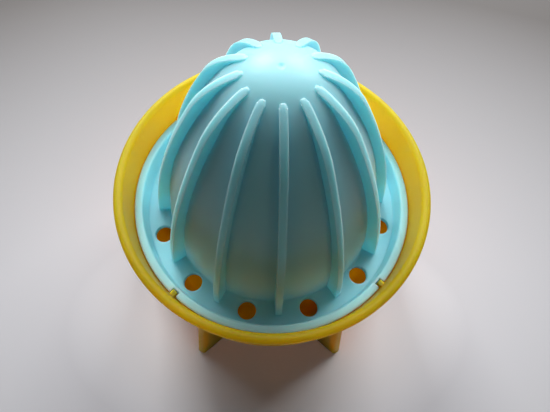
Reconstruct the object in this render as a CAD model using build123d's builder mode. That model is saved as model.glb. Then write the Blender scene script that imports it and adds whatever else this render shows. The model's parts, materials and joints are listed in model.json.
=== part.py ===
from build123d import *
from math import acos, cos, degrees, hypot, radians, sin, tan
import os

# A hand citrus juicer in two mouldings: a ribbed reamer with a strainer
# plate, and the cup on six legs that it drops into. Each moulding is split
# into its forms, which meet face to face and don't overlap.
# Millimetres, +Z up, origin on the surface under the middle of the feet,
# front of the juicer towards -Y.

# Heights: the rim and the floor above the surface that the feet stand on,
# the plate below the rim, and the rest above the plate
rim_height = 52.9
bowl_floor_height = 11.0
plate_depth = 16.1
band_rise = 6.3
lug_rise = 6.8
crown_rise = 64.3

# Rim and wall of the cup, from the rim inwards and down
rim_radius = 46.0
bead_radius = 1.4
wall_thickness = 2.2
wall_flare = 1.6
ledge_width = 2.2
bowl_taper = 8.6
bowl_corner_radius = 9.0
step_rounding = 0.5

# Legs of the cup, each a hollow wedge that leans out towards its foot
leg_count = 6
foot_reach = 2.2
leg_top_inset = 2.0
leg_depth = 13.2
leg_edge_width = 2.3
leg_wall = 2.0
leg_splay = 18.0
leg_rounding = 0.7
foot_rounding = 1.2

# Lugs of the cup, which key into notches of the reamer
lug_count = 4
lug_first_angle = 48.2
lug_thickness = 1.3
lug_reach = 0.9
notch_play = 0.5
notch_gap = 0.3
notch_rounding = 0.6
lug_rounding = 0.35

# Strainer plate of the reamer, with its raised band. The drain holes take
# shares of the flat between dome and band, from the dome outwards
seat_clearance = 0.3
plate_thickness = 2.0
band_top_width = 2.45
band_foot_width = 3.1
band_rounding = 0.6
drain_count = 12
drain_first_angle = 18.0
drain_place_share = 0.467
drain_width_share = 0.72
plate_rim_share = 0.4

# Dome of the reamer
gutter_width = 10.1
dome_wall = 2.0
dome_fillet = 0.8
cap_radius = 16.1
cap_edge_angle = 33.0
gate_radius = 0.8
gate_depth = 0.35

# Ribs of the dome, turned a little against the legs of the cup. The crest is
# two arcs that meet at a shoulder, given by its place along the dome's side
rib_count = 12
rib_first_angle = 3.0
rib_width = 1.8
rib_rounding = 0.45
rib_start_radius = 7.4
rib_start_step = 0.25
rib_shoulder_share = 0.125
rib_shoulder_depth = 2.55
rib_shoulder_turn = 1.1
rib_foot_reach = 4.25

# How far a cut runs past the faces that it opens
overrun = 1.0

# Difference under which two radii count as one
same_radius = 0.001

# Degrees in a whole turn
full_turn = 360

os.makedirs("parts", exist_ok=True)

bead_height = rim_height - bead_radius
bead_circle_radius = rim_radius - bead_radius
wall_top_radius = bead_circle_radius - bead_radius
seat_radius = wall_top_radius - wall_flare
bowl_floor_radius = seat_radius - bowl_taper
plate_height = rim_height - plate_depth
seat_height = plate_height - plate_thickness
wall_foot_height = seat_height + step_rounding
wall_slope = wall_flare / (bead_height - seat_height)
band_height = plate_height + band_rise
lug_height = plate_height + lug_rise
crown_height = plate_height + crown_rise
dome_base_radius = seat_radius - gutter_width
cap_center_height = crown_height - cap_radius
cap_edge_height = cap_center_height + cap_radius * sin(radians(cap_edge_angle))


def wall_radius(height):
    """Inner radius of the cup above its ledge."""
    return seat_radius + wall_slope * (height - seat_height)


def dome_edge(inset):
    """Point where the cap of the dome passes into its side."""
    reach = cap_radius - inset
    angle = radians(cap_edge_angle)
    return (reach * cos(angle), cap_center_height + reach * sin(angle))


def dome_side(inset, foot):
    """Side of the dome, tangent to its cap, down to a point at its foot."""
    angle = radians(cap_edge_angle)
    return TangentArc(dome_edge(inset), foot, tangent=(sin(angle), -cos(angle)))


def dome_cap(inset, start_radius):
    """Cap of the dome, from a radius about the axis out to its edge."""
    reach = cap_radius - inset
    start_angle = degrees(acos(start_radius / reach))
    center = (0, cap_center_height)
    return CenterArc(center, reach, start_angle, cap_edge_angle - start_angle)


def bowl_outline(growth, top_height):
    """Outline of the bowl from the axis to its wall's top, grown out from its inside."""
    return FilletPolyline(
        (0, bowl_floor_height - growth),
        (bowl_floor_radius + growth, bowl_floor_height - growth),
        (seat_radius - ledge_width + growth, seat_height - growth),
        (seat_radius + growth, seat_height - growth),
        (wall_radius(top_height) + growth, top_height),
        radius=(bowl_corner_radius + growth, step_rounding, step_rounding),
    )


def export_node(node, name):
    """Label a finished form and write its file."""
    node.part.label = name
    export_step(node.part, "parts/" + name + ".step")


def export_ring(form, name, count, first_angle):
    """Write copies of a form, spaced evenly round the axis."""
    for number in range(count):
        with BuildPart() as copy:
            add(form.part, rotation=(0, 0, first_angle + number * full_turn / count))
        export_node(copy, name + "_" + str(number + 1))


# Section of the reamer: dome, strainer plate and the raised band at its edge
band_outer_radius = wall_radius(band_height) - seat_clearance
plate_outer_radius = wall_radius(seat_height) - seat_clearance
band_inner_radius = band_outer_radius - band_top_width
band_foot_radius = band_outer_radius - band_foot_width
flat_width = band_foot_radius - dome_base_radius
drain_circle_radius = dome_base_radius + drain_place_share * flat_width
drain_radius = drain_width_share * flat_width / 2
drain_edge_radius = drain_circle_radius + drain_radius
plate_rim_radius = drain_edge_radius + plate_rim_share * (band_foot_radius - drain_edge_radius)
dome_foot = (dome_base_radius, plate_height)
with BuildSketch() as reamer_section:
    with BuildLine():
        cap_outside = dome_cap(0, 0)
        cap_inside = dome_cap(dome_wall, 0)
        dome_side(0, dome_foot)
        side_inside = dome_side(dome_wall, (dome_base_radius - dome_wall, seat_height))
        FilletPolyline(
            dome_foot,
            (band_foot_radius, plate_height),
            (band_inner_radius, band_height),
            (band_outer_radius, band_height),
            (plate_outer_radius, seat_height),
            side_inside @ 1,
            radius=band_rounding,
        )
        Line(cap_outside @ 0, cap_inside @ 0)
    make_face()
    fillet(reamer_section.vertices().sort_by_distance(dome_foot)[0], radius=dome_fillet)

# Side of the dome, from the plate up to the edge of its cap
with BuildPart() as dome:
    with BuildSketch(Plane.XZ):
        add(reamer_section.sketch)
        with Locations((0, plate_height)):
            Rectangle(
                plate_rim_radius,
                cap_edge_height - plate_height,
                align=Align.MIN,
                mode=Mode.INTERSECT,
            )
    revolve(axis=Axis.Z)
export_node(dome, "reamer_dome")

# Round cap of the dome, with the small moulding dimple in its top
with BuildPart() as cap:
    with BuildSketch(Plane.XZ):
        add(reamer_section.sketch)
        with Locations((0, cap_edge_height)):
            Rectangle(cap_radius, cap_radius, align=Align.MIN, mode=Mode.INTERSECT)
    revolve(axis=Axis.Z)
    with BuildSketch(Plane.XY.offset(crown_height - gate_depth)):
        Circle(gate_radius)
    extrude(amount=gate_depth + overrun, mode=Mode.SUBTRACT)
export_node(cap, "reamer_cap")

# Strainer plate, a flat ring under the dome with a ring of drain holes
with BuildPart() as plate:
    with BuildSketch(Plane.XZ):
        add(reamer_section.sketch)
        with Locations((0, plate_height)):
            Rectangle(plate_rim_radius, plate_height, align=(Align.MIN, Align.MAX), mode=Mode.INTERSECT)
    revolve(axis=Axis.Z)
    with BuildSketch(Plane.XY.offset(seat_height - overrun)):
        with PolarLocations(drain_circle_radius, drain_count, start_angle=drain_first_angle):
            Circle(drain_radius)
    extrude(amount=plate_thickness + 2 * overrun, mode=Mode.SUBTRACT)
export_node(plate, "reamer_plate")

# Raised band round the plate, with notches for the lugs of the cup
lug_tip_radius = seat_radius - lug_reach
notch_floor_radius = lug_tip_radius - notch_gap
notch_length = band_outer_radius + overrun - notch_floor_radius
notch_middle_radius = notch_floor_radius + notch_length / 2
notch_half_width = lug_thickness / 2 + notch_play
with BuildPart() as band:
    with BuildSketch(Plane.XZ):
        add(reamer_section.sketch)
        with Locations((plate_rim_radius, 0)):
            Rectangle(rim_radius, rim_height, align=Align.MIN, mode=Mode.INTERSECT)
    revolve(axis=Axis.Z)
    with BuildSketch(Plane.XY.offset(seat_height - overrun)) as notches:
        with PolarLocations(notch_middle_radius, lug_count, start_angle=lug_first_angle):
            Rectangle(notch_length, 2 * notch_half_width)
        with PolarLocations(band_outer_radius, lug_count, start_angle=lug_first_angle):
            Rectangle(overrun, 4 * notch_half_width, align=(Align.MIN, Align.CENTER))
        mouth_reach = hypot(band_outer_radius, notch_half_width)
        mouth_corners = notches.vertices().filter_by(
            lambda corner: abs(hypot(corner.X, corner.Y) - mouth_reach) < same_radius
        )
        fillet(mouth_corners, radius=notch_rounding)
    extrude(amount=band_height - seat_height + 2 * overrun, mode=Mode.SUBTRACT)
export_node(band, "reamer_band")

# One rib of the dome, standing towards +X, cut off where dome and plate begin
rib_root = dome_wall / 2
rib_foot = (dome_base_radius + rib_foot_reach, plate_height)
rib_foot_back = (dome_base_radius + rib_foot_reach, seat_height + rib_root)
root_foot = (dome_base_radius - rib_root, seat_height + rib_root)
with BuildLine():
    cap_above_start = dome_cap(0, rib_start_radius)
    side_outside = dome_side(0, dome_foot)
rib_start = cap_above_start @ 0 + Vector(0, rib_start_step)
side_lead = side_outside % rib_shoulder_share
side_normal = Vector(-side_lead.Y, side_lead.X)
shoulder = side_outside @ rib_shoulder_share + rib_shoulder_depth * side_normal
shoulder_lead = side_lead.rotate(Axis.Z, -rib_shoulder_turn)
with BuildPart() as rib_form:
    with BuildSketch(Plane.XZ):
        with BuildLine():
            crest_side = TangentArc(shoulder, rib_foot, tangent=shoulder_lead)
            crest_top = TangentArc(shoulder, rib_start, tangent=-shoulder_lead)
            root_cap = dome_cap(rib_root, rib_start_radius)
            dome_side(rib_root, root_foot)
            Polyline(root_foot, rib_foot_back, rib_foot)
            Line(rib_start, root_cap @ 0)
        make_face()
    extrude(amount=rib_width / 2, both=True)
    crest_arcs = (crest_side, crest_top)
    crest_edges = rib_form.edges().filter_by(GeomType.CIRCLE).filter_by(
        lambda edge: min(abs(edge.radius - arc.radius) for arc in crest_arcs) < same_radius
    )
    end_edges = rib_form.edges().filter_by(Axis.Z)
    top_edge = rib_form.edges().filter_by(Axis.Y).sort_by(Axis.Z)[-1]
    fillet(crest_edges + end_edges + [top_edge], radius=rib_rounding)
    add(dome.part, mode=Mode.SUBTRACT)
    add(cap.part, mode=Mode.SUBTRACT)
    add(plate.part, mode=Mode.SUBTRACT)
export_ring(rib_form, "reamer_rib", rib_count, rib_first_angle)

# Section of the cup: bowl, ledge, wall and rounded rim
with BuildSketch() as cup_section:
    with BuildLine():
        inside_line = bowl_outline(0, bead_height)
        outside_line = bowl_outline(wall_thickness, bead_height - bead_radius)
        bead_top = CenterArc((bead_circle_radius, bead_height), bead_radius, 0, 180)
        TangentArc(bead_top @ 0, outside_line @ 1, tangent=(0, -1))
        Line(inside_line @ 0, outside_line @ 0)
    make_face()

# Bowl of the cup, up to the ledge that the reamer rests on
with BuildPart() as bowl:
    with BuildSketch(Plane.XZ):
        add(cup_section.sketch)
        with Locations((0, wall_foot_height)):
            Rectangle(rim_radius, rim_height, align=(Align.MIN, Align.MAX), mode=Mode.INTERSECT)
    revolve(axis=Axis.Z)
export_node(bowl, "cup_bowl")

# Wall of the cup above the ledge, with its rim
with BuildPart() as wall:
    with BuildSketch(Plane.XZ):
        add(cup_section.sketch)
        with Locations((0, wall_foot_height)):
            Rectangle(rim_radius, rim_height, align=Align.MIN, mode=Mode.INTERSECT)
    revolve(axis=Axis.Z)
export_node(wall, "cup_wall")

# One lug of the cup, towards +X, standing on the ledge against the wall
wall_middle = wall_thickness / 2
with BuildPart() as lug_form:
    with BuildSketch(Plane.XZ):
        with BuildLine():
            Polyline(
                (lug_tip_radius, seat_height),
                (lug_tip_radius, lug_height),
                (wall_radius(lug_height) + wall_middle, lug_height),
                (wall_radius(seat_height) + wall_middle, seat_height),
                close=True,
            )
        make_face()
    extrude(amount=lug_thickness / 2, both=True)
    lug_top_edge = lug_form.edges().filter_by(Axis.Y).group_by(Axis.Z)[-1].sort_by(Axis.X)[0]
    fillet(lug_form.edges().filter_by(Axis.Z) + [lug_top_edge], radius=lug_rounding)
    add(bowl.part, mode=Mode.SUBTRACT)
    add(wall.part, mode=Mode.SUBTRACT)
export_ring(lug_form, "cup_lug", lug_count, lug_first_angle)

# One leg of the cup, towards +X: a hollow wedge, open below, that widens
# inwards from its narrow outer edge and leans out from the ledge to the foot
foot_radius = rim_radius + foot_reach
leg_top_radius = seat_radius + wall_thickness - leg_top_inset
leg_root_radius = foot_radius - leg_depth
leg_rise = seat_height - wall_middle
leg_lean = (leg_top_radius - foot_radius, 0, leg_rise)
leg_length = hypot(leg_top_radius - foot_radius, leg_rise)
leg_half_edge = leg_edge_width / 2
leg_half_root = leg_half_edge + (foot_radius - leg_root_radius) * tan(radians(leg_splay))
with BuildPart() as leg_form:
    with BuildSketch(Plane.XY) as leg_section:
        with BuildLine():
            Polyline(
                (foot_radius, -leg_half_edge),
                (foot_radius, leg_half_edge),
                (leg_root_radius, leg_half_root),
                (leg_root_radius, -leg_half_root),
                close=True,
            )
        make_face()
    extrude(amount=leg_length, dir=leg_lean)
    foot_edge = leg_form.edges().filter_by(Axis.Y).group_by(Axis.Z)[0].sort_by(Axis.X)[-1]
    fillet(foot_edge, radius=foot_rounding)
    outer_face = leg_form.faces().sort_by(Axis.X)[-1]
    lean_edges = outer_face.edges().filter_by(Axis.Y, reverse=True)
    fillet(lean_edges, radius=leg_rounding)
    with BuildSketch(Plane.XY):
        offset(leg_section.sketch, amount=-leg_wall)
    extrude(amount=leg_length, dir=leg_lean, mode=Mode.SUBTRACT)
    with BuildSketch(Plane.XZ):
        with BuildLine():
            cup_outside = bowl_outline(wall_thickness, bead_height)
            Polyline(cup_outside @ 0, (0, bead_height), cup_outside @ 1)
        make_face()
    revolve(axis=Axis.Z, mode=Mode.SUBTRACT)
export_ring(leg_form, "cup_leg", leg_count, 0)
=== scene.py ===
import json
import math

import bmesh
import bpy
from mathutils import Matrix, Vector


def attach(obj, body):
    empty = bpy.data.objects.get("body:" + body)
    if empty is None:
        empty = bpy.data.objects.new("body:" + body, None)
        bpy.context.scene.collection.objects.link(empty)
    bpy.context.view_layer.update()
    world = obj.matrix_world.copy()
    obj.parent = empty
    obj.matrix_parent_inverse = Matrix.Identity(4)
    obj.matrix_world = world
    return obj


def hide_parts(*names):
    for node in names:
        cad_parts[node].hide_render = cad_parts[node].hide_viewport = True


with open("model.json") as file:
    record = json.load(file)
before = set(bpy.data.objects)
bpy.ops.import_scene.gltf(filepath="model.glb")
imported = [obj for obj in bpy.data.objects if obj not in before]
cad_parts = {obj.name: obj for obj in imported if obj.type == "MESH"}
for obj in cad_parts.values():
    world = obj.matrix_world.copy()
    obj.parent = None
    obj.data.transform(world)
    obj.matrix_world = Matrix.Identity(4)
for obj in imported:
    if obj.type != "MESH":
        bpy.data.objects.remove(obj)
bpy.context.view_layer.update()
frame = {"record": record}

# The two mouldings of the juicer, each as one closed mesh. Millimetres here; meshes
# go to metres at the end. Names and values are the CAD's, apart from FOOT_RADIUS,
# GATE_DEPTH and RIB_ROUNDING, which are a fraction of a millimetre off.
RIM_HEIGHT = 52.9
PLATE_HEIGHT = 36.8
BAND_HEIGHT = 43.1
LUG_HEIGHT = 43.6
CROWN_HEIGHT = 101.1
BOWL_FLOOR_HEIGHT = 11.0

RIM_RADIUS = 46.0
BEAD_RADIUS = 1.4
WALL_THICKNESS = 2.2
SEAT_RADIUS = 41.6
LEDGE_WIDTH = 2.2
BOWL_FLOOR_RADIUS = 33.0
BOWL_CORNER_RADIUS = 9.0
STEP_ROUNDING = 0.5

LEG_COUNT = 6
FOOT_RADIUS = 48.16
LEG_TOP_RADIUS = 41.8
LEG_ROOT_RADIUS = 35.0
LEG_EDGE_WIDTH = 2.3
LEG_WALL = 2.0
LEG_SPLAY = 18.0
LEG_ROUNDING = 0.7
FOOT_ROUNDING = 1.2

LUG_COUNT = 4
LUG_FIRST_ANGLE = 48.2
LUG_THICKNESS = 1.3
LUG_TIP_RADIUS = 40.7
NOTCH_PLAY = 0.5
NOTCH_GAP = 0.3
NOTCH_ROUNDING = 0.6
LUG_ROUNDING = 0.35

SEAT_CLEARANCE = 0.3
PLATE_THICKNESS = 2.0
BAND_TOP_WIDTH = 2.45
BAND_FOOT_WIDTH = 3.1
BAND_ROUNDING = 0.6
DRAIN_COUNT = 12
DRAIN_FIRST_ANGLE = 18.0
DRAIN_CIRCLE_RADIUS = 35.0
DRAIN_RADIUS = 2.7
DRAIN_ROUNDING = 0.22

DOME_BASE_RADIUS = 31.5
DOME_WALL = 2.0
DOME_FILLET = 0.8
CAP_RADIUS = 16.1
CAP_EDGE_ANGLE = 33.0
GATE_RADIUS = 0.8
GATE_DEPTH = 0.22

RIB_COUNT = 12
RIB_FIRST_ANGLE = 3.0
RIB_WIDTH = 1.8
RIB_ROUNDING = 0.65
RIB_START = (7.4, 99.55)
RIB_SHOULDER = (19.63, 88.54)
RIB_SHOULDER_ANGLE = 28.03
RIB_FOOT_RADIUS = 35.75

TURN_STEPS = 288
DRAIN_STEPS = 48
DIMPLE_STEPS = 32
LEAST_HALF_EDGE = 0.02
MERGE_DISTANCE = 2e-4
SLIVER_LENGTH = 1e-4
SHARP_ANGLE = 32.0
MM = 0.001

# Plastics: noise scales per metre, and the depth of the grain in metres
CLOUD_SCALE = 60.0
SMEAR_SCALE = 220.0
GRAIN_SCALE = 900.0
GRAIN_DEPTH = 0.00012
GRAIN_STRENGTH = 0.08
PLASTIC_IOR = 1.5

# Table: its colour by distance in metres from a spot in front of the juicer, a painted pool of
# light there fading to painted shade far off
FLOOR_PAINTED_POOL = (0.97, 0.97, 0.985, 1)
FLOOR_AROUND = (0.56, 0.557, 0.575, 1)
FLOOR_PAINTED_SHADE = (0.090, 0.080, 0.074, 1)
PAINTED_POOL_REACH = 0.020
AROUND_REACH = 0.044
PAINTED_SHADE_REACH = 0.173
SPOT_SHIFT = 0.030
SIDEWAYS_SHARE = 0.6
FLOOR_HALF_SIZE = 1.5
FLOOR_ROUGHNESS = 0.6

# Lamps: direction from the object (degrees from straight behind, then up), watts
WINDOWS = ((-42, 35, 1.9), (-20, 35, 12.0), (20, 35, 8.0), (42, 35, 5.9))
SKY = ((-38, 62, 1.3), (-13, 62, 1.4), (13, 62, 1.4), (38, 62, 1.5))
ROOM = ((-130, 40, 0.40), (130, 40, 0.70))
LAMP_TARGET = (0, 0, 0.04)
LAMP_DISTANCE = 1.3
LAMP_SIZE = 0.45

BEAD_HEIGHT = RIM_HEIGHT - BEAD_RADIUS
BEAD_CIRCLE_RADIUS = RIM_RADIUS - BEAD_RADIUS
WALL_TOP_RADIUS = BEAD_CIRCLE_RADIUS - BEAD_RADIUS
SEAT_HEIGHT = PLATE_HEIGHT - PLATE_THICKNESS
WALL_SLOPE = (WALL_TOP_RADIUS - SEAT_RADIUS) / (BEAD_HEIGHT - SEAT_HEIGHT)
CAP_CENTER = (0.0, CROWN_HEIGHT - CAP_RADIUS)
BAND_OUTER_RADIUS = SEAT_RADIUS + WALL_SLOPE * (BAND_HEIGHT - SEAT_HEIGHT) - SEAT_CLEARANCE


def wall_radius(height):
    return SEAT_RADIUS + WALL_SLOPE * (height - SEAT_HEIGHT)


# Outlines in the half plane (radius, height)

def arc(center, radius, start, end, count):
    """Points on an arc, from one angle in degrees to another."""
    angles = [math.radians(start + (end - start) * i / count) for i in range(count + 1)]
    return [(center[0] + radius * math.cos(a), center[1] + radius * math.sin(a)) for a in angles]


def swept(center, radius, start, end, count):
    """Points on the shorter arc round a centre, from one point to another."""
    a0 = math.atan2(start.y - center.y, start.x - center.x)
    a1 = math.atan2(end.y - center.y, end.x - center.x)
    sweep = (a1 - a0 + math.pi) % (2 * math.pi) - math.pi
    angles = [a0 + sweep * i / count for i in range(count + 1)]
    return [(center.x + radius * math.cos(a), center.y + radius * math.sin(a)) for a in angles]


def tangent_arc(start, direction, end, count):
    """Points on the arc that leaves start along direction and ends at end."""
    p, t, q = Vector(start), Vector(direction).normalized(), Vector(end)
    n = Vector((-t.y, t.x))
    chord = q - p
    if n.dot(chord) < 0:
        n = -n
    radius = chord.length_squared / (2 * n.dot(chord))
    return swept(p + n * radius, radius, p, q, count)


def rounded(points, radii, count=6):
    """An open polyline with its inner corners rounded."""
    out = [points[0]]
    for before, corner, after, radius in zip(points, points[1:], points[2:], radii):
        b, c, a = Vector(before), Vector(corner), Vector(after)
        u, v = (b - c).normalized(), (a - c).normalized()
        half = math.acos(max(-1.0, min(1.0, u.dot(v)))) / 2
        reach = radius / math.tan(half)
        center = c + (u + v).normalized() * (radius / math.sin(half))
        out += swept(center, radius, c + u * reach, c + v * reach, count)
    out.append(points[-1])
    return out


def dome_line(inset, foot, cap_steps, side_steps, start_radius=0.0):
    """The dome from its crown, or from a radius, down to its foot."""
    reach = CAP_RADIUS - inset
    first = math.degrees(math.acos(start_radius / reach))
    cap = arc(CAP_CENTER, reach, first, CAP_EDGE_ANGLE, cap_steps)
    if not start_radius:
        cap[0] = (0.0, cap[0][1])
    turn = math.radians(CAP_EDGE_ANGLE)
    return cap + tangent_arc(cap[-1], (math.sin(turn), -math.cos(turn)), foot, side_steps)[1:]


def foot_fillet(side, radius):
    """The dome's side with a hollow fillet where it meets the plate."""
    (x0, y0), (x1, y1) = side[-2], side[-1]
    corner = rounded([(x0, y0), (x1, y1), (x1 + 3 * radius, y1)], [radius])
    keep = [p for p in side[:-1] if p[1] > corner[1][1] + 0.1]
    return keep + corner[1:-1]


def bowl_line(growth, top_height):
    """The cup from its axis to a height on its wall, grown out from its inside."""
    return rounded(
        [
            (0.0, BOWL_FLOOR_HEIGHT - growth),
            (BOWL_FLOOR_RADIUS + growth, BOWL_FLOOR_HEIGHT - growth),
            (SEAT_RADIUS - LEDGE_WIDTH + growth, SEAT_HEIGHT - growth),
            (SEAT_RADIUS + growth, SEAT_HEIGHT - growth),
            (wall_radius(top_height) + growth, top_height),
        ],
        [BOWL_CORNER_RADIUS + growth, STEP_ROUNDING, STEP_ROUNDING],
        10,
    )


# Meshes

def to_object(bm, name):
    bmesh.ops.recalc_face_normals(bm, faces=bm.faces)
    mesh = bpy.data.meshes.new(name)
    bm.to_mesh(mesh)
    bm.free()
    thing = bpy.data.objects.new(name, mesh)
    bpy.context.scene.collection.objects.link(thing)
    return thing


def turned(name, outline, steps=TURN_STEPS, places=((0.0, 0.0),)):
    """A body of revolution. Points on the axis become single vertices."""
    bm = bmesh.new()
    for px, py in places:
        rings = []
        for r, z in outline:
            if r < 1e-9:
                rings.append([bm.verts.new((px, py, z))])
            else:
                rings.append([
                    bm.verts.new((
                        px + r * math.cos(2 * math.pi * j / steps),
                        py + r * math.sin(2 * math.pi * j / steps), z))
                    for j in range(steps)
                ])
        for a, b in zip(rings, rings[1:]):
            if len(a) == 1 and len(b) == 1:
                continue
            for j in range(steps):
                k = (j + 1) % steps
                if len(a) == 1:
                    bm.faces.new((a[0], b[j], b[k]))
                elif len(b) == 1:
                    bm.faces.new((a[j], b[0], a[k]))
                else:
                    bm.faces.new((a[j], b[j], b[k], a[k]))
    return to_object(bm, name)


def ring_of(bm, count, first):
    """Copies everything in a mesh round the axis, the first one at an angle in degrees."""
    def turn(verts, angle):
        bmesh.ops.rotate(bm, verts=verts, cent=(0, 0, 0), matrix=Matrix.Rotation(angle, 3, "Z"))

    geometry = bm.verts[:] + bm.edges[:] + bm.faces[:]
    for i in range(1, count):
        copy = bmesh.ops.duplicate(bm, geom=geometry)["geom"]
        turn([v for v in copy if isinstance(v, bmesh.types.BMVert)], 2 * math.pi * i / count)
    turn(bm.verts[:], math.radians(first))


def bevel(bm, edges, radius, segments):
    bmesh.ops.bevel(bm, geom=edges, offset=radius, segments=segments, profile=0.5, affect="EDGES")


def slab(bm, outline, width):
    """An upright plate with the given outline in (radius, height), standing towards +X."""
    left = [bm.verts.new((x, -width / 2, z)) for x, z in outline]
    right = [bm.verts.new((x, width / 2, z)) for x, z in outline]
    bm.faces.new(left)
    bm.faces.new(right[::-1])
    for i in range(len(outline)):
        k = (i + 1) % len(outline)
        bm.faces.new((left[i], left[k], right[k], right[i]))
    return left, right


def prism(bm, outline, bottom, top, lean=0.0):
    """An upright prism with the given outline seen from above, leaned along X."""
    low, high = [[bm.verts.new((x + lean * z, y, z)) for x, y in outline] for z in (bottom, top)]
    bm.faces.new(low[::-1])
    bm.faces.new(high)
    for i in range(len(outline)):
        k = (i + 1) % len(outline)
        bm.faces.new((low[i], low[k], high[k], high[i]))


def combine(target, tool, operation):
    """Joins a second mesh to the first, or takes it away."""
    step = target.modifiers.new("combine", "BOOLEAN")
    step.operation = operation
    step.solver = "EXACT"
    step.object = tool
    bpy.context.view_layer.update()
    result = target.evaluated_get(bpy.context.evaluated_depsgraph_get())
    made = bpy.data.meshes.new_from_object(result)
    target.modifiers.remove(step)
    old = target.data
    target.data = made
    bpy.data.meshes.remove(old)
    bpy.data.objects.remove(tool)


def finish_mesh(thing):
    """Merges what the joining left double, goes to metres and shades smooth."""
    bm = bmesh.new()
    bm.from_mesh(thing.data)
    bmesh.ops.remove_doubles(bm, verts=bm.verts[:], dist=MERGE_DISTANCE)
    bmesh.ops.dissolve_degenerate(bm, edges=bm.edges[:], dist=SLIVER_LENGTH)
    bm.to_mesh(thing.data)
    bm.free()
    thing.data.transform(Matrix.Scale(MM, 4))
    thing.data.shade_smooth()
    thing.data.set_sharp_from_angle(angle=math.radians(SHARP_ANGLE))
    thing.data.materials.clear()


# Reamer

def make_reamer():
    foot = (DOME_BASE_RADIUS, PLATE_HEIGHT)
    outside = foot_fillet(dome_line(0.0, foot, 16, 40), DOME_FILLET)
    inside = dome_line(DOME_WALL, (DOME_BASE_RADIUS - DOME_WALL, SEAT_HEIGHT), 12, 28)
    band = rounded(
        [
            outside[-1],
            (BAND_OUTER_RADIUS - BAND_FOOT_WIDTH, PLATE_HEIGHT),
            (BAND_OUTER_RADIUS - BAND_TOP_WIDTH, BAND_HEIGHT),
            (BAND_OUTER_RADIUS, BAND_HEIGHT),
            (wall_radius(SEAT_HEIGHT) - SEAT_CLEARANCE, SEAT_HEIGHT),
            inside[-1],
        ],
        [BAND_ROUNDING] * 4,
    )
    reamer = turned("reamer_moulding", outside + band[1:] + inside[::-1][1:])

    turn = math.radians(RIB_SHOULDER_ANGLE)
    upward = (-math.sin(turn), math.cos(turn))
    downward = (math.sin(turn), -math.cos(turn))
    crest_top = tangent_arc(RIB_SHOULDER, upward, RIB_START, 12)
    crest_side = tangent_arc(RIB_SHOULDER, downward, (RIB_FOOT_RADIUS, PLATE_HEIGHT), 36)
    crest = crest_top[::-1] + crest_side[1:]
    middle = PLATE_HEIGHT - PLATE_THICKNESS / 2
    root = dome_line(DOME_WALL / 2, (DOME_BASE_RADIUS - DOME_WALL / 2, middle), 8, 24, RIB_START[0])
    bm = bmesh.new()
    outline = crest + [(RIB_FOOT_RADIUS, middle)] + root[::-1]
    left, right = slab(bm, outline, RIB_WIDTH)
    last = len(crest)
    soft = []
    for side in (left, right):
        soft += [bm.edges.get((side[i], side[i + 1])) for i in range(last)]
        soft.append(bm.edges.get((side[0], side[-1])))
    soft.append(bm.edges.get((left[0], right[0])))
    bevel(bm, soft, RIB_ROUNDING, 4)
    ring_of(bm, RIB_COUNT, RIB_FIRST_ANGLE)
    combine(reamer, to_object(bm, "ribs"), "UNION")

    top, bottom, flare = PLATE_HEIGHT, SEAT_HEIGHT, DRAIN_ROUNDING
    wide = DRAIN_RADIUS + flare
    drain = (
        [(0.0, bottom - 1), (wide + 0.4, bottom - 1), (wide + 0.4, bottom - 0.002)]
        + arc((wide, bottom + flare), flare, 270, 180, 4)
        + arc((wide, top - flare), flare, 180, 90, 4)
        + [(wide + 0.4, top + 0.002), (wide + 0.4, top + 1), (0.0, top + 1)]
    )
    places = []
    for i in range(DRAIN_COUNT):
        angle = math.radians(DRAIN_FIRST_ANGLE + 360 * i / DRAIN_COUNT)
        places.append(
            (DRAIN_CIRCLE_RADIUS * math.cos(angle), DRAIN_CIRCLE_RADIUS * math.sin(angle)))
    combine(reamer, turned("drains", drain, steps=DRAIN_STEPS, places=places), "DIFFERENCE")

    bm = bmesh.new()
    floor_radius = LUG_TIP_RADIUS - NOTCH_GAP
    half = LUG_THICKNESS / 2 + NOTCH_PLAY
    mouth = rounded(
        [(floor_radius, half), (BAND_OUTER_RADIUS, half), (BAND_OUTER_RADIUS, 2 * half)],
        [NOTCH_ROUNDING],
    )
    mouth += [(RIM_RADIUS, 2 * half)]
    prism(bm, mouth + [(x, -y) for x, y in mouth[::-1]], SEAT_HEIGHT - 1, BAND_HEIGHT + 1)
    ring_of(bm, LUG_COUNT, LUG_FIRST_ANGLE)
    combine(reamer, to_object(bm, "notches"), "DIFFERENCE")

    dimple = [
        (0.0, CROWN_HEIGHT - GATE_DEPTH),
        (GATE_RADIUS * 0.5, CROWN_HEIGHT - GATE_DEPTH),
        (GATE_RADIUS, CROWN_HEIGHT - 0.02),
        (GATE_RADIUS * 1.25, CROWN_HEIGHT + 0.3),
        (0.0, CROWN_HEIGHT + 0.3),
    ]
    combine(reamer, turned("dimple", dimple, steps=DIMPLE_STEPS), "DIFFERENCE")
    finish_mesh(reamer)
    return reamer


# Cup

def wedge(bm, inset, bottom, top):
    """A leg's wedge: its section at the foot, leaned in towards the ledge."""
    splay = math.radians(LEG_SPLAY)
    slant = inset / math.cos(splay) - inset * math.tan(splay)
    half_edge = LEG_EDGE_WIDTH / 2 - slant
    outer = FOOT_RADIUS - inset
    inner = LEG_ROOT_RADIUS + inset
    half_root = half_edge + (outer - inner) * math.tan(splay)
    if half_edge < LEAST_HALF_EDGE:
        outer -= (LEAST_HALF_EDGE - half_edge) / math.tan(splay)
        half_edge = LEAST_HALF_EDGE
    lean = (LEG_TOP_RADIUS - FOOT_RADIUS) / (SEAT_HEIGHT - WALL_THICKNESS / 2)
    section = [(outer, -half_edge), (outer, half_edge), (inner, half_root), (inner, -half_root)]
    prism(bm, section, bottom, top, lean)


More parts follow.
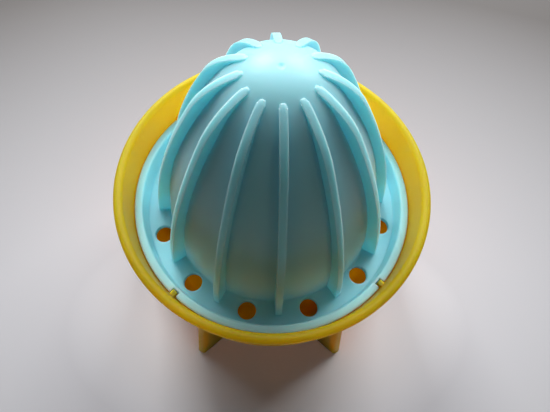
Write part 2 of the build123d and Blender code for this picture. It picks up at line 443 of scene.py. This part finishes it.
def soften_foot(bm):
    """Rounds a wedge's lower outer edge, then the two edges that run up from it."""
    bm.normal_update()
    front = max(bm.faces, key=lambda face: face.normal.x)
    low = min(front.edges, key=lambda edge: edge.verts[0].co.z + edge.verts[1].co.z)
    bevel(bm, [low], FOOT_ROUNDING, 5)
    bm.normal_update()
    upright = []
    for edge in bm.edges:
        one, two = sorted(edge.link_faces, key=lambda face: abs(face.normal.y))
        if abs(two.normal.y) > 0.8 and abs(one.normal.y) < 0.3 and one.normal.x > 0.05:
            upright.append(edge)
    bevel(bm, upright, LEG_ROUNDING, 5)


def make_cup():
    inner = bowl_line(0.0, BEAD_HEIGHT)
    outer = bowl_line(WALL_THICKNESS, BEAD_HEIGHT - BEAD_RADIUS)
    bead = arc((BEAD_CIRCLE_RADIUS, BEAD_HEIGHT), BEAD_RADIUS, 180, 0, 16)
    under = tangent_arc(bead[-1], (0, -1), outer[-1], 6)
    cup = turned("cup_moulding", inner + bead[1:] + under[1:] + outer[::-1][1:])

    lift = SEAT_HEIGHT - WALL_THICKNESS / 2
    bm = bmesh.new()
    wedge(bm, 0.0, 0.0, lift)
    soften_foot(bm)
    ring_of(bm, LEG_COUNT, 0.0)
    legs = to_object(bm, "legs")
    bm = bmesh.new()
    wedge(bm, LEG_WALL, -1.0, lift + 1)
    ring_of(bm, LEG_COUNT, 0.0)
    combine(legs, to_object(bm, "leg_hollows"), "DIFFERENCE")
    middle = bowl_line(WALL_THICKNESS / 2, BEAD_HEIGHT)
    combine(legs, turned("bowl_room", middle + [(0.0, BEAD_HEIGHT)]), "DIFFERENCE")
    combine(cup, legs, "UNION")

    bm = bmesh.new()
    inside = WALL_THICKNESS / 2
    lug = [
        (LUG_TIP_RADIUS, SEAT_HEIGHT - 0.5),
        (LUG_TIP_RADIUS, LUG_HEIGHT),
        (wall_radius(LUG_HEIGHT) + inside, LUG_HEIGHT),
        (wall_radius(SEAT_HEIGHT) + inside, SEAT_HEIGHT - 0.5),
    ]
    left, right = slab(bm, lug, LUG_THICKNESS)
    soft = [bm.edges.get((side[0], side[1])) for side in (left, right)]
    soft.append(bm.edges.get((left[1], right[1])))
    bevel(bm, soft, LUG_ROUNDING, 3)
    ring_of(bm, LUG_COUNT, LUG_FIRST_ANGLE)
    combine(cup, to_object(bm, "lugs"), "UNION")
    finish_mesh(cup)
    return cup


# Materials

def plastic(name, top, foot, painted_shade_heights, radius, roughness, shine):
    """A translucent moulded plastic: light goes in, scatters and comes out tinted.

    Its colour goes from foot to top between two levels given in metres; this is painted light and
    shade, with each end tinted for how light reaches it, not a dye.
    """
    material = bpy.data.materials.new(name)
    material.use_nodes = True
    nodes, links = material.node_tree.nodes, material.node_tree.links
    shader = nodes["Principled BSDF"]
    place = nodes.new("ShaderNodeTexCoord")

    def noise(scale, detail):
        node = nodes.new("ShaderNodeTexNoise")
        node.inputs["Scale"].default_value = scale
        node.inputs["Detail"].default_value = detail
        links.new(place.outputs["Object"], node.inputs["Vector"])
        return node

    def remap(source, low, high, ends=(0.0, 1.0)):
        node = nodes.new("ShaderNodeMapRange")
        node.inputs["From Min"].default_value, node.inputs["From Max"].default_value = ends
        node.inputs["To Min"].default_value = low
        node.inputs["To Max"].default_value = high
        links.new(source, node.inputs["Value"])
        return node.outputs["Result"]

    cloud = noise(CLOUD_SCALE, 3.0)
    axes = nodes.new("ShaderNodeSeparateXYZ")
    links.new(place.outputs["Object"], axes.inputs["Vector"])
    shade_and_cloud_share = nodes.new("ShaderNodeMath")
    shade_and_cloud_share.operation = "ADD"
    # Painted shade: height sets how far the colour goes from the foot tint to the top tint; the
    # cloud adds random tone.
    links.new(remap(axes.outputs["Z"], 0.0, 1.0, painted_shade_heights), shade_and_cloud_share.inputs[0])
    links.new(remap(cloud.outputs["Fac"], -0.25, 0.25), shade_and_cloud_share.inputs[1])
    shade_and_cloud_tint = nodes.new("ShaderNodeMix")
    shade_and_cloud_tint.data_type = "RGBA"
    shade_and_cloud_tint.inputs["A"].default_value = (*foot, 1)
    shade_and_cloud_tint.inputs["B"].default_value = (*top, 1)
    links.new(shade_and_cloud_share.outputs["Value"], shade_and_cloud_tint.inputs["Factor"])
    links.new(shade_and_cloud_tint.outputs["Result"], shader.inputs["Base Color"])
    smear = noise(SMEAR_SCALE, 4.0)
    matt = remap(smear.outputs["Fac"], roughness - 0.03, roughness + 0.04)
    links.new(matt, shader.inputs["Roughness"])
    grain = noise(GRAIN_SCALE, 5.0)
    bump = nodes.new("ShaderNodeBump")
    bump.inputs["Strength"].default_value = GRAIN_STRENGTH
    bump.inputs["Distance"].default_value = GRAIN_DEPTH
    links.new(grain.outputs["Fac"], bump.inputs["Height"])
    links.new(bump.outputs["Normal"], shader.inputs["Normal"])
    shader.inputs["Subsurface Weight"].default_value = 1.0
    shader.inputs["Subsurface Radius"].default_value = radius
    shader.inputs["Subsurface Scale"].default_value = 1.0
    shader.inputs["IOR"].default_value = PLASTIC_IOR
    shader.inputs["Specular IOR Level"].default_value = shine
    return material


reamer = make_reamer()
# Painted light: greener and less blue towards the foot, standing in for the yellow cup's light
# coming through the dome; the top tint is set for where the sky lamps light it.
reamer.data.materials.append(
    plastic("turquoise plastic", (0.40, 0.83, 1.0), (0.40, 0.86, 0.97), (0.050, 0.098),
            (0.0020, 0.0028, 0.0026), 0.42, 0.5))
cup = make_cup()
# Painted light: deeper orange towards the legs and bowl, standing in for light passing through the
# yellow plastic there.
cup.data.materials.append(
    plastic("yellow plastic", (1.00, 0.33, 0.006), (1.00, 0.29, 0.004), (0.010, 0.050),
            (0.0400, 0.0190, 0.0005), 0.50, 0.22))

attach(reamer, "reamer")
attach(cup, "cup")
for node in frame["record"]["behaviour"]["bodies"]["reamer"]:
    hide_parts(node)
for node in frame["record"]["behaviour"]["bodies"]["cup"]:
    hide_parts(node)


# Table, light and camera

def table_top():
    """A pale table with painted light: bright near the juicer's front, with painted shade turning
    it darker with distance.
    """
    bm = bmesh.new()
    bmesh.ops.create_grid(bm, x_segments=2, y_segments=2, size=FLOOR_HALF_SIZE)
    floor = to_object(bm, "table_top")
    material = bpy.data.materials.new("table with painted light")
    material.use_nodes = True
    nodes, links = material.node_tree.nodes, material.node_tree.links
    shader = nodes["Principled BSDF"]
    shader.inputs["Roughness"].default_value = FLOOR_ROUGHNESS
    place = nodes.new("ShaderNodeTexCoord")

    def fade(source, start, end):
        node = nodes.new("ShaderNodeMapRange")
        node.inputs["From Min"].default_value = start
        node.inputs["From Max"].default_value = end
        links.new(source, node.inputs["Value"])
        return node.outputs["Result"]

    def mix(factor, first, second):
        node = nodes.new("ShaderNodeMix")
        node.data_type = "RGBA"
        links.new(factor, node.inputs["Factor"])
        for socket, value in (("A", first), ("B", second)):
            if isinstance(value, tuple):
                node.inputs[socket].default_value = value
            else:
                links.new(value, node.inputs[socket])
        return node.outputs["Result"]

    shift = nodes.new("ShaderNodeMapping")
    shift.inputs["Location"].default_value = (0, SPOT_SHIFT, 0)
    shift.inputs["Scale"].default_value = (SIDEWAYS_SHARE, 1, 1)
    links.new(place.outputs["Object"], shift.inputs["Vector"])
    reach = nodes.new("ShaderNodeVectorMath")
    reach.operation = "LENGTH"
    links.new(shift.outputs["Vector"], reach.inputs[0])
    distance = reach.outputs["Value"]
    # Painted light: a bright pool near the juicer, then painted shade that darkens the table
    # further off.
    painted_pool_mix = mix(fade(distance, PAINTED_POOL_REACH, AROUND_REACH), FLOOR_PAINTED_POOL, FLOOR_AROUND)
    painted_light_floor = mix(fade(distance, AROUND_REACH, PAINTED_SHADE_REACH), painted_pool_mix, FLOOR_PAINTED_SHADE)
    links.new(painted_light_floor, shader.inputs["Base Color"])
    floor.data.materials.append(material)


def lamps(name, rows, color):
    """Soft square lamps that all face the object."""
    for i, (turn, rise, power) in enumerate(rows):
        across, up = math.radians(turn), math.radians(rise)
        level = math.cos(up)
        toward = Vector((level * math.sin(across), level * math.cos(across), math.sin(up)))
        lamp = bpy.data.lights.new(f"{name}_{i + 1}", "AREA")
        lamp.shape = "SQUARE"
        lamp.size = LAMP_SIZE
        lamp.energy = power
        lamp.color = color
        thing = bpy.data.objects.new(lamp.name, lamp)
        thing.location = Vector(LAMP_TARGET) + LAMP_DISTANCE * toward
        thing.rotation_euler = toward.to_track_quat("Z", "Y").to_euler()
        bpy.context.scene.collection.objects.link(thing)


def make_camera():
    """The photograph's camera: its place, heading, pitch and roll over the rim."""
    lens_pixels, image_width = 466.4, 550.0
    heading, pitch, roll = math.radians(85.74), math.radians(65.54), math.radians(4.63)
    place = Vector((-3.67, -62.64, 172.8)) * MM
    forward = Vector((
        math.cos(heading) * math.cos(pitch), math.sin(heading) * math.cos(pitch), -math.sin(pitch)))
    level = Vector((math.sin(heading), -math.cos(heading), 0.0))
    rise = level.cross(forward)
    right = level * math.cos(roll) + rise * math.sin(roll)
    up = rise * math.cos(roll) - level * math.sin(roll)
    data = bpy.data.cameras.new("camera")
    data.sensor_width = 36.0
    data.sensor_fit = "HORIZONTAL"
    data.lens = 36.0 * lens_pixels / image_width
    data.clip_start = 0.01
    camera = bpy.data.objects.new("camera", data)
    turn = Matrix((right, up, -forward)).transposed()
    camera.matrix_world = Matrix.Translation(place) @ turn.to_4x4()
    bpy.context.scene.collection.objects.link(camera)
    bpy.context.scene.camera = camera


table_top()
make_camera()
lamps("window", WINDOWS, (1.0, 1.0, 1.0))
lamps("sky", SKY, (0.87, 0.90, 1.0))
lamps("room", ROOM, (0.95, 1.0, 0.88))

# A dim room, and a plain wall that only the camera sees
world = bpy.data.worlds.new("room")
bpy.context.scene.world = world
world.use_nodes = True
nodes, links = world.node_tree.nodes, world.node_tree.links
nodes["Background"].inputs["Color"].default_value = (0.9, 0.93, 1.0, 1)
nodes["Background"].inputs["Strength"].default_value = 0.01
wall = nodes.new("ShaderNodeBackground")
wall.inputs["Color"].default_value = (0.30, 0.28, 0.27, 1)
path = nodes.new("ShaderNodeLightPath")
seen = nodes.new("ShaderNodeMixShader")
links.new(path.outputs["Is Camera Ray"], seen.inputs["Fac"])
links.new(nodes["Background"].outputs["Background"], seen.inputs[1])
links.new(wall.outputs["Background"], seen.inputs[2])
links.new(seen.outputs["Shader"], nodes["World Output"].inputs["Surface"])

bpy.context.scene.view_settings.view_transform = "Standard"
